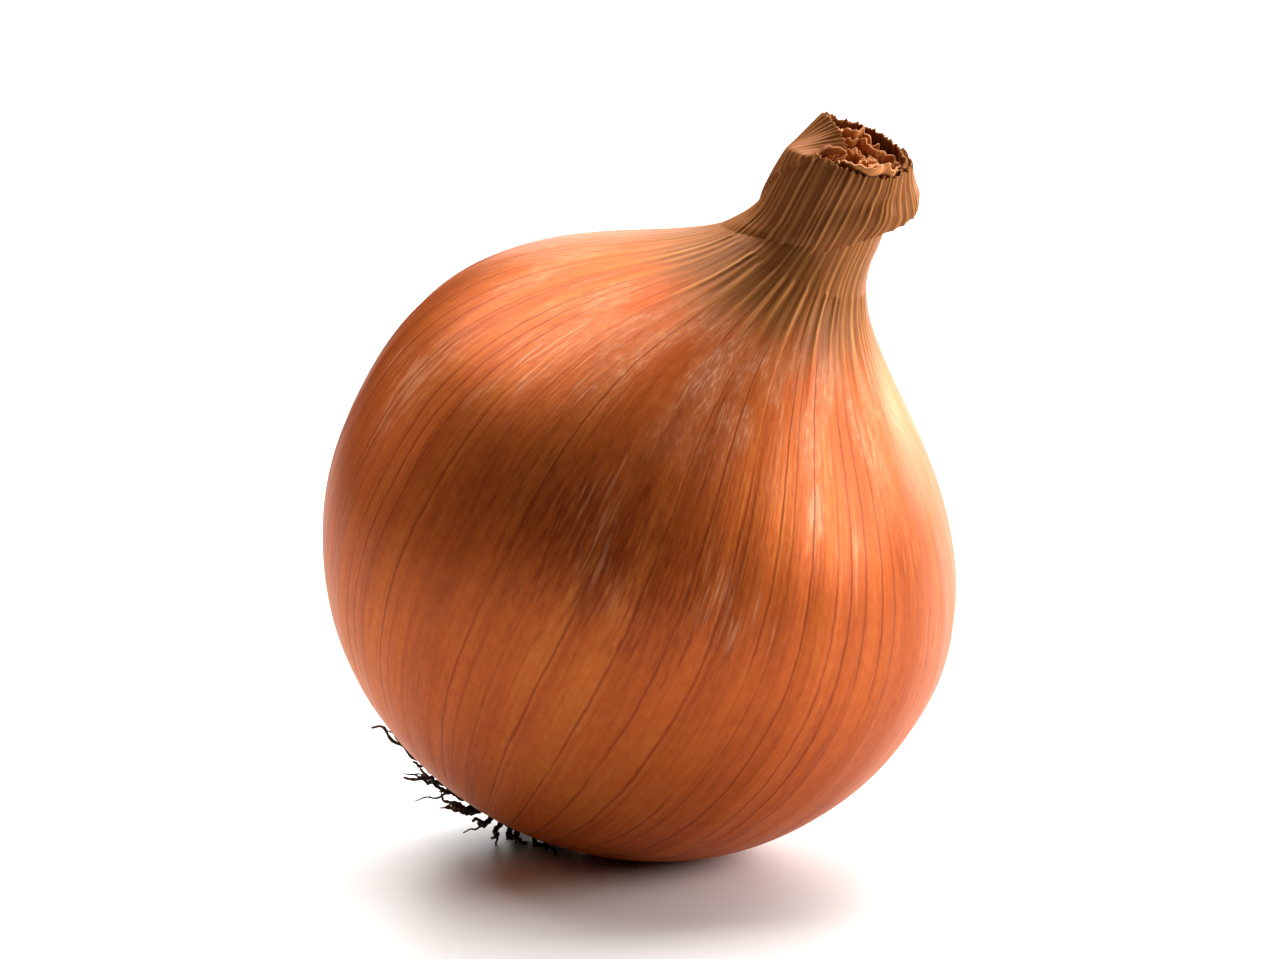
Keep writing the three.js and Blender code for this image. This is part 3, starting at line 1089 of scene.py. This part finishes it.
@dataclass
class NeckSheath:
    """The outermost leaf's dry base, wrapped round the neck.

    Its lap slants up the front and flares at the side. On the far side its rim has been folded in over the
    neck's cut end.
    """

    columns: int = 460
    rows: int = 96
    hem: float = 70.0
    thickness: float = 0.35
    lap_degrees: tuple[float, float, float] = (-64.0, 0.0, 60.0)
    lap_heights: tuple[float, float, float] = (80.8, 87.8, 92.0)
    turn_degrees: float = 430.0
    flare: float = 1.6
    flare_height: float = 87.8
    flare_reach: float = 3.0
    edge_lift: float = 0.12
    sunk: float = 0.4
    loose: float = 0.32
    grown_in_height: float = 80.4
    grown_in_drop: float = 5.5
    tuck: float = 0.6
    strip_thickness: float = 0.42
    crease_softness: float = 0.35
    billow: float = 0.2
    stations: tuple[int, ...] = (-180, -150, -124, -112, -90, -26, 20, 90, 140)

    def lap_angle(self, height: np.ndarray) -> np.ndarray:
        """Follows the free edge up the front of the neck.

        Args:
            height: along the axis, in millimetres.

        Returns:
            The angle at which it stands at each height.
        """
        slope = (self.lap_degrees[1] - self.lap_degrees[0]) / (self.lap_heights[1] - self.lap_heights[0])
        low = self.lap_degrees[0] + slope * (height - self.lap_heights[0])
        along = np.interp(height, self.lap_heights, self.lap_degrees)
        return np.radians(np.where(height < self.lap_heights[0], low, along))

    def lower_edge(self, angle: np.ndarray) -> np.ndarray:
        """Follows the sheet's lower edge: the free edge in front, and the sunken hem elsewhere.

        Args:
            angle: round the axis, in radians.

        Returns:
            Its height at each angle.
        """
        slope = (self.lap_heights[1] - self.lap_heights[0]) / (self.lap_degrees[1] - self.lap_degrees[0])
        degrees = np.degrees(angle)
        below = self.lap_heights[0] + slope * (degrees - self.lap_degrees[0])
        along = np.interp(degrees, self.lap_degrees, self.lap_heights)
        return np.maximum(np.where(degrees < self.lap_degrees[0], below, along), self.hem)

    def stands_off(self, angle: np.ndarray, height: np.ndarray, from_edge: np.ndarray,
                   from_start: np.ndarray) -> np.ndarray:
        """How far the sheath stands off the bulb's own outline.

        Args:
            angle: round the axis.
            height: along it.
            from_edge: angle back from the free edge.
            from_start: angle on from where the sheath starts, tucked under its own lap.

        Returns:
            Millimetres, below 0 where the sheath has sunk into the skin and grown into it.
        """
        grown_in = self.grown_in_height - self.grown_in_drop * smooth(from_edge, 0, math.radians(70))
        free = -self.sunk + (self.sunk + self.loose) * smooth(height, grown_in - 3, grown_in + 3)
        side = self.flare * np.exp(-((height - self.flare_height) / self.flare_reach) ** 2)
        flared = (self.edge_lift + side) * (1 - smooth(from_edge, 0, math.radians(58)))
        flared = flared * smooth(height, 80, 83)
        tucked = self.tuck * (1 - smooth(from_start, math.radians(62), math.radians(130)))
        return free + flared - tucked + self.outer_strip(angle, height)

    def outer_strip(self, angle: np.ndarray, height: np.ndarray) -> np.ndarray:
        """Adds a strip of older leaf on the far left, whose edge slants up to the fold.

        Args:
            angle: round the axis, in radians.
            height: along the axis, in millimetres.

        Returns:
            How thick it is there, in millimetres.
        """
        behind = wrapped(angle, start=0)
        edge = np.radians(180 + 6.9 * (height - 80))
        near_edge = smooth(edge - behind, 0, math.radians(2.2))
        fades = 1 - smooth(edge - behind, math.radians(12), math.radians(80))
        return self.strip_thickness * near_edge * fades * smooth(height, 79, 82)

    def rim(self, angle: np.ndarray) -> np.ndarray:
        """Follows the torn rim.

        Args:
            angle: round the axis, in radians.

        Returns:
            How far up the sheet reaches before it is folded.
        """
        at = [-180, -150, -124, -113, -90, -26, 20, 90, 140]
        tall = [93.4, 94.4, 95.4, 90.6, 90.6, 92.0, 93.2, 92.8, 92.2]
        torn = 0.22 * waves(angle, angle * 0, (12, 60), 0, seed=41)
        frayed = 0.16 * waves(angle, angle * 0, (60, 140), 0, seed=42)
        return round_the_neck(angle, at, tall) + (torn + frayed)

    def folded(self, angle: np.ndarray, length: np.ndarray,
               radius: np.ndarray) -> tuple[np.ndarray, np.ndarray]:
        """Folds what is above the crease inwards.

        Args:
            angle: round the axis.
            length: distance up the sheet, as a height.
            radius: from the axis.

        Returns:
            The folded sheet's height and radius.
        """
        crease = round_the_neck(angle, self.stations, [87.4, 88.4, 89.6, 90.0, 89.4, 90.0, 90.2, 90.2, 88.6])
        bend = np.radians(round_the_neck(angle, self.stations, [18, 46, 76, 34, 16, 22, 30, 18, 14]))
        past = length - crease
        beyond = (past + np.sqrt(past**2 + self.crease_softness**2)) / 2
        return length - beyond * (1 - np.cos(bend)), radius - beyond * np.sin(bend)

    def build(self) -> bpy.types.Object:
        """Wraps a grid round the neck, folds its rim, gives it its thickness and lays it down.

        Returns:
            The sheath, in the room.
        """
        piece, across, up = flat_grid(self.columns, self.rows)
        turn = math.radians(self.turn_degrees)
        angle = math.radians(self.lap_degrees[2]) - (1 - across) * turn
        low = self.lower_edge(angle)
        height = low + up * (self.rim(angle) - low)
        from_edge = self.lap_angle(height) - angle
        radius = FORM.radius_at(height) + self.stands_off(angle, height, from_edge, across * turn)
        radius = radius + FORM.relief(angle, height)
        radius = radius + self.billow * smooth(height, 84, 92) * waves(angle, height, (3, 12), 0.4, seed=43)
        lower, inner = self.folded(angle, height, radius)
        move_vertices(piece, FORM.place(angle, lower, inner) * MM)
        carry_skin(piece, angle, height)
        close_leaf(piece, self.thickness)
        finish_mesh(piece, "neck_sheath_skin", DrySkin(name="neck_skin").material())
        return piece


@dataclass
class NeckLeaf:
    """One dead leaf, crumpled inside the neck's cut end."""

    node: str
    opens_at: float
    radius: float
    top: float
    seed: int
    spill: float = 0.0
    columns: int = 200
    rows: int = 56
    foot: float = 78.5
    thickness: float = 0.28
    opening: float = 1.6
    inset: float = 0.25
    tear: float = 0.6
    fine_tear: float = 0.22
    lip_around: float = math.radians(-62)
    lip_reach: float = math.radians(42)
    fold_around: float = math.radians(-135)
    fold_reach: float = math.radians(44)
    fold_drop: float = 3.0

    def build(self) -> bpy.types.Object:
        """Curls a grid, crumples it, tears its top and lays it down.

        Returns:
            The leaf, in the room.
        """
        piece, across, up = flat_grid(self.columns, self.rows)
        opening = self.opening / self.radius
        angle = math.radians(self.opens_at) + opening + across * (FULL_TURN - opening)
        lip = np.exp(-((wrapped(angle) - self.lip_around) / self.lip_reach) ** 2)
        from_fold = wrapped(angle, start=math.radians(-315)) - self.fold_around
        folded_over = np.exp(-(from_fold / self.fold_reach) ** 2)
        torn = self.tear * waves(angle, angle * 0, (2, 7), 0, self.seed)
        torn = torn + self.fine_tear * waves(angle, angle * 0, (9, 40), 0, self.seed + 1)
        top = self.top + torn + 0.3 * self.spill * lip - self.fold_drop * folded_over
        height = self.foot + up * (top - self.foot)
        radius = self.radius - self.inset + self.crumple(angle, height, up)
        radius = radius + self.spill * lip * smooth(height, 90.0, 92.2)
        move_vertices(piece, FORM.place(angle, height, np.maximum(radius, self.inset)) * MM)
        carry(piece, "grain", grain_of(angle, height, girth=self.radius))
        carry(piece, "edge", up)
        close_leaf(piece, self.thickness)
        finish_mesh(piece, self.node + "_crumpled", DeadLeaf().material())
        return piece

    def crumple(self, angle: np.ndarray, height: np.ndarray, up: np.ndarray) -> np.ndarray:
        """Crumples the leaf, more and more towards its top, nearly as its neighbours are, so that they nest.

        Args:
            angle: round the axis.
            height: along it.
            up: each point's share of the way from the leaf's foot to its top.

        Returns:
            How far out it is pushed, in millimetres.
        """
        loose = 0.12 + 0.7 * smooth(up, 0.35, 1.0)
        creased = np.abs(waves(angle, height, (2, 6), 0.6, seed=63)) - 0.4
        fine = 0.45 * waves(angle, height, (6, 18), 1.0, seed=64)
        own = 0.22 * waves(angle, height, (4, 20), 1.0, self.seed + 2)
        return loose * (creased + fine + own)


@dataclass
class RootPlate:
    """The corky disc in the bulb's base, cracked, pitted and stained."""

    radius: float = 8.5
    bulge: float = 1.8
    seat: float = 1.7
    edge_height: float = 0.99
    uneven: float = 0.02
    lump: float = 0.22
    pit: float = 0.16
    segments: int = 144
    rings: int = 72

    def build(self) -> bpy.types.Object:
        """Shapes a ball into the domed disc and breaks up its surface.

        Returns:
            The plate, in the room.
        """
        select_nothing()
        bpy.ops.mesh.primitive_uv_sphere_add(segments=self.segments, ring_count=self.rings, radius=1)
        piece = bpy.context.object
        ball = read_vertices(piece)
        angle = np.arctan2(ball[:, 1], ball[:, 0])
        outward = np.hypot(ball[:, 0], ball[:, 1]) ** 0.8
        below = ball[:, 2] < 0
        radius = outward * self.radius * (1 + self.uneven * waves(angle, angle * 0, (5, 19), 0, seed=51))
        depth = np.where(below, -self.bulge * np.abs(ball[:, 2]), self.seat * np.minimum(ball[:, 2] * 4, 1))
        lumps = self.lump * waves(angle, radius, (4, 16), 1.6, seed=52)
        lumps = lumps + self.pit * waves(angle, radius, (16, 44), 3.2, seed=53)
        depth = depth + np.where(below, lumps * smooth(-ball[:, 2], 0, 0.3), 0)
        move_vertices(piece, LIE.to_room(FORM.place(angle, self.edge_height + depth, radius)))
        carry(piece, "grain", np.stack([radius * np.cos(angle), radius * np.sin(angle), depth], axis=-1))
        face_outwards(piece)
        finish_mesh(piece, "root_plate_cork", RootCork().material())
        return piece


@dataclass(frozen=True)
class RootRun:
    """Where one root grows on the plate and how it runs, in the bulb's frame."""

    ring: float
    around: float
    length: float
    drop: float
    lift: float
    wander: float = 0.0


@dataclass
class Roots:
    """The dried roots: crooked, tapering and forked, fanned out under the bulb's raised side."""

    field_radius: float = 7.0
    spiral: int = 22
    fan: float = math.radians(150)
    long: float = 15.0
    short: float = 5.0
    shortest: float = 0.6
    broken_off: float = 0.62
    raised_lift: float = 1.6
    stray: float = math.radians(4)
    clearance: float = 0.05
    plate: float = 8.5
    bulge: float = 1.8
    thick: float = 0.4
    thin: float = 0.17
    rootlet_thick: float = 0.16
    rootlet_thin: float = 0.08
    rootlet_rings: int = 14
    rootlets: int = 3
    bushy_from: float = 7.5
    rings: int = 34
    segments: int = 8

    def runs(self) -> list[RootRun]:
        """Spreads the roots over the plate.

        Returns:
            Every root's run, the three strays first and then the spiral, as the frame numbers them.
        """
        made = [
            RootRun(self.field_radius, math.radians(190.5), 12, 2.7, 2.1),
            RootRun(self.field_radius, math.radians(207), 6, 2.6, 2),
            RootRun(self.field_radius, math.radians(163), 8.5, 1.4, 0.8),
        ]
        golden = (math.sqrt(5) - 1) / 2
        for i in range(self.spiral):
            to_edge = math.sqrt((i + 0.5) / self.spiral)
            around = math.pi + self.fan * (2 * (i * golden % 1) - 1)
            raised = (1 - math.cos(around)) / 2
            room = self.short + (self.long - self.short) * raised
            share = self.shortest + (1 - self.shortest) * (i * math.sqrt(2) % 1)
            made.append(RootRun(
                ring=self.field_radius * to_edge,
                around=around,
                length=room * share * self.broken_off,
                drop=2.45 - 1.1 * to_edge,
                lift=self.raised_lift * raised * (i * math.sqrt(7) % 1),
                wander=self.stray * (2 * (i * math.sqrt(3) % 1) - 1),
            ))
        return made

    def underside(self, reach: float) -> float:
        """Follows the bulb's underside and the plate's.

        Args:
            reach: distance from the axis.

        Returns:
            Its height there.
        """
        edge = FORM.belly_height * (1 - math.sqrt(1 - (FORM.seat / FORM.belly) ** 2))
        if reach < self.plate:
            return edge - self.bulge * math.sqrt(1 - (reach / self.plate) ** 2)
        return FORM.belly_height * (1 - math.sqrt(1 - (reach / FORM.belly) ** 2))

    def route(self, run: RootRun, seed: int) -> np.ndarray:
        """The root's centre line in the room, in metres: its run through a smooth curve, made crooked.

        Args:
            run: where it grows.
            seed: picks its crooks.

        Returns:
            One row for each point, from inside the plate to the tip.
        """
        shares = [0, 0, 0.3, 0.65, 1]
        drops = [-0.4, 1.0, run.drop, run.drop + run.lift * 0.3, run.drop + run.lift]
        stations = []
        for share, drop in zip(shares, drops):
            reach = run.ring + run.length * share
            angle = run.around + run.wander * share
            depth = self.underside(reach) - drop
            stations.append((reach * math.cos(angle), reach * math.sin(angle) * FORM.oval, depth))
        knots = np.array([0, 0.1, 0.36, 0.68, 1.0])
        t = np.linspace(0, 1, self.rings + 1)
        line = np.stack([np.interp(t, knots, np.array(stations)[:, i]) for i in range(3)], axis=1)
        kernel = np.array([1, 2, 3, 2, 1]) / 9
        padded = np.pad(line, ((2, 2), (0, 0)), mode="edge")
        soft = np.stack([np.convolve(padded[:, i], kernel, "valid") for i in range(3)], axis=1)
        rng = np.random.default_rng(seed)
        crooks = np.zeros_like(soft)
        for cycles in (1.5, 2.7, 4.6, 8.0):
            push = rng.normal(size=3) * 0.34 / cycles**0.85
            crooks += push * np.sin(FULL_TURN * cycles * t + rng.uniform(0, FULL_TURN))[:, None]
        return LIE.to_room(soft + crooks * smooth(t, 0.05, 0.35)[:, None])

    def tube(self, line: np.ndarray, thick: float, thin: float, rings: int) -> bpy.types.Object:
        """A closed, tapering tube along a line, shaped from a ball.

        Args:
            line: centre line in metres.
            thick: radius at its start, in millimetres.
            thin: radius near its tip.
            rings: how many rows of faces it has.

        Returns:
            The tube, in the room.
        """
        select_nothing()
        bpy.ops.mesh.primitive_uv_sphere_add(segments=self.segments, ring_count=rings, radius=1)
        piece = bpy.context.object
        ball = read_vertices(piece)
        share = np.arccos(np.clip(-ball[:, 2], -1, 1)) / math.pi
        angle = np.arctan2(ball[:, 1], ball[:, 0])
        t = np.linspace(0, 1, len(line))
        centre = np.stack([np.interp(share, t, line[:, i]) for i in range(3)], axis=1)
        heading = np.gradient(line, axis=0)
        heading = np.stack([np.interp(share, t, heading[:, i]) for i in range(3)], axis=1)
        heading /= np.linalg.norm(heading, axis=1, keepdims=True)
        side = np.cross(heading, np.array([0.2, 0.9, 0.35]))
        side /= np.linalg.norm(side, axis=1, keepdims=True)
        other = np.cross(heading, side)
        knobbly = 1 + 0.16 * np.sin(share * 57 + thick * 40) + 0.1 * np.sin(share * 131 + 2 * angle)
        closed = np.sqrt(np.clip(1 - (2 * share - 1) ** 16, 0, 1))
        radius = (thick + (thin - thick) * share**0.8) * knobbly * closed * MM
        ring = np.cos(angle)[:, None] * side + np.sin(angle)[:, None] * other
        placed = LIE.above_table(centre + ring * radius[:, None], self.clearance * MM)
        move_vertices(piece, placed)
        carry(piece, "grain", np.stack([np.cos(angle) * 0.5, np.sin(angle) * 0.5, share * 12], axis=-1))
        carry(piece, "edge", share)
        return piece

    def rootlet(self, line: np.ndarray, rng: np.random.Generator) -> bpy.types.Object:
        """A fine root that forks off another one.

        Args:
            line: the centre line it grows from.
            rng: picks where it grows and which way.

        Returns:
            The rootlet, in the room.
        """
        at = rng.integers(len(line) // 3, len(line) - 6)
        ahead = line[at + 3] - line[at]
        ahead /= np.linalg.norm(ahead)
        away = np.cross(ahead, rng.normal(size=3))
        away /= np.linalg.norm(away)
        length = rng.uniform(2.0, 4.2) * MM
        t = np.linspace(0, 1, 11)[:, None]
        bent = ahead * (0.75 * t + 0.2 * t**2) + away * (0.62 * t - 0.12 * t**2)
        crook = away * 0.06 * np.sin(9 * t + rng.uniform(0, 6))
        own_line = line[at] + (bent + crook) * length
        return self.tube(own_line, self.rootlet_thick, self.rootlet_thin, self.rootlet_rings)

    def build(self) -> list[bpy.types.Object]:
        """Makes every root, each one mesh with its own rootlets.

        Returns:
            The roots, in the room, in the order of their runs.
        """
        finish = DriedRoot().material()
        made = []
        for i, run in enumerate(self.runs()):
            line = self.route(run, seed=100 + i)
            rng = np.random.default_rng(200 + i)
            forks = self.rootlets if run.length > self.bushy_from else 1
            parts = [self.tube(line, self.thick, self.thin, self.rings)]
            parts += [self.rootlet(line, rng) for _ in range(forks)]
            select_nothing()
            for part in parts:
                part.select_set(True)
            bpy.context.view_layer.objects.active = parts[0]
            bpy.ops.object.join()
            face_outwards(parts[0])
            finish_mesh(parts[0], f"dried_root_{i + 1:02d}", finish)
            made.append(parts[0])
        return made


# ---------------------------------------------------------------- the studio


@dataclass(frozen=True)
class Softbox:
    """A soft light: where it hangs, in metres, its size and its power in watts."""

    name: str
    place: tuple[float, float, float]
    size: tuple[float, float]
    power: float
    colour: str = "#FFFFFF"

    def hang(self, aim: Vector) -> None:
        """Adds the light and points it at the onion.

        Args:
            aim: the onion's middle.
        """
        select_nothing()
        bpy.ops.object.light_add(type="AREA", location=self.place)
        lamp = bpy.context.object
        lamp.name = self.name
        lamp.rotation_euler = (aim - Vector(self.place)).to_track_quat("-Z", "Y").to_euler()
        lamp.data.shape = "RECTANGLE"
        lamp.data.size, lamp.data.size_y = self.size
        lamp.data.energy = self.power
        lamp.data.color = linear(self.colour)[:3]


@dataclass
class Studio:
    """A pale table, soft lights above and behind, and a long lens a little above the table's height."""

    distance: float = 0.9
    elevation: float = math.radians(12)
    field_height: float = 0.112
    sensor: float = 36.0
    aspect: float = 1278 / 959
    table_radius: float = 3.0

    def aim(self) -> Vector:
        """The middle of the onion's box."""
        return (cad_low + cad_high) / 2

    def lay_table(self) -> bpy.types.Object:
        """Lays the table's top, as wide as the view needs.

        Returns:
            The table.
        """
        select_nothing()
        bpy.ops.mesh.primitive_circle_add(vertices=96, radius=self.table_radius, fill_type="NGON")
        table = bpy.context.object
        finish_mesh(table, "studio_table", PaleTable().material())
        return table

    def hang_lights(self) -> None:
        """Soft light from above and behind, weaker from the sides, and a dark room in front."""
        boxes = [
            Softbox("overhead", (-0.05, 0.22, 0.56), (0.75, 0.55), 7.2),
            Softbox("right_side", (0.48, -0.04, 0.2), (0.32, 0.26), 2.4),
            Softbox("right_rear", (0.42, 0.5, 0.24), (0.3, 0.4), 3.6),
            Softbox("left_rear", (-0.5, 0.25, 0.24), (0.25, 0.25), 0.3, "#FFDDB8"),
            Softbox("backdrop", (0.32, 0.8, 0.36), (1.1, 0.6), 7.0),
        ]
        for box in boxes:
            box.hang(self.aim())

    def set_world(self) -> None:
        """White behind everything that the camera sees, and nearly dark to everything else."""
        world = bpy.data.worlds.new("studio_room")
        bpy.context.scene.world = world
        world.use_nodes = True
        tree = world.node_tree
        tree.nodes.clear()
        dim = add_node(tree, "Background", {"Color": linear("#FFFFFF"), "Strength": 0.01})
        white = add_node(tree, "Background", {"Color": linear("#FFFFFF"), "Strength": 1.0})
        seen = add_node(tree, "LightPath").outputs["Is Camera Ray"]
        both = add_node(tree, "MixShader", {0: seen, 1: dim.outputs[0], 2: white.outputs[0]})
        add_node(tree, "OutputWorld", {"Surface": both.outputs[0]})

    def set_camera(self) -> None:
        """A long lens that looks along +Y and down a little, with the onion in the middle of the view."""
        back = Vector((0, -math.cos(self.elevation), math.sin(self.elevation)))
        place = self.aim() + back * self.distance
        bpy.ops.object.camera_add(location=place)
        camera = bpy.context.object
        camera.name = "studio_camera"
        camera.rotation_euler = (-back).to_track_quat("-Z", "Y").to_euler()
        camera.data.sensor_width = self.sensor
        camera.data.lens = self.sensor * self.distance / (self.field_height * self.aspect)
        camera.data.clip_start = 0.01
        camera.data.clip_end = 20.0
        bpy.context.scene.camera = camera

    def build(self) -> None:
        """Sets up the table, the room, the lights and the camera."""
        self.lay_table()
        self.set_world()
        self.hang_lights()
        self.set_camera()
        bpy.context.scene.view_settings.view_transform = "Standard"


# ---------------------------------------------------------------- putting it together


def stands_for(piece: bpy.types.Object, node: str) -> None:
    """Makes a piece ride on the frame in a node's place, and hides that node.

    Args:
        piece: the piece's object.
        node: the frame's node that it stands for.
    """
    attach(piece, "root")
    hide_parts(node)
    log.info("%s: %d faces, stands for %s", piece.name, len(piece.data.polygons), node)


def main() -> None:
    """Builds the studio and then every piece of the onion, the bulb first."""
    logging.basicConfig(level=logging.INFO, format="%(name)s: %(message)s")
    Studio().build()
    stands_for(Bulb().build(), "bulb")
    stands_for(NeckSheath().build(), "neck_sheath")
    leaves = [
        NeckLeaf("neck_leaf_outer", 190, 5.3, 91.8, seed=61, spill=2.1),
        NeckLeaf("neck_leaf_second", 40, 4.2, 91.4, seed=71, spill=0.8),
        NeckLeaf("neck_leaf_third", 275, 3.1, 90.4, seed=81),
        NeckLeaf("neck_leaf_heart", 130, 2.0, 90.6, seed=91),
    ]
    for leaf in leaves:
        stands_for(leaf.build(), leaf.node)
    stands_for(RootPlate().build(), "root_plate")
    for i, root in enumerate(Roots().build()):
        stands_for(root, f"root_{i + 1:02d}")


if __name__ == "__main__":
    main()
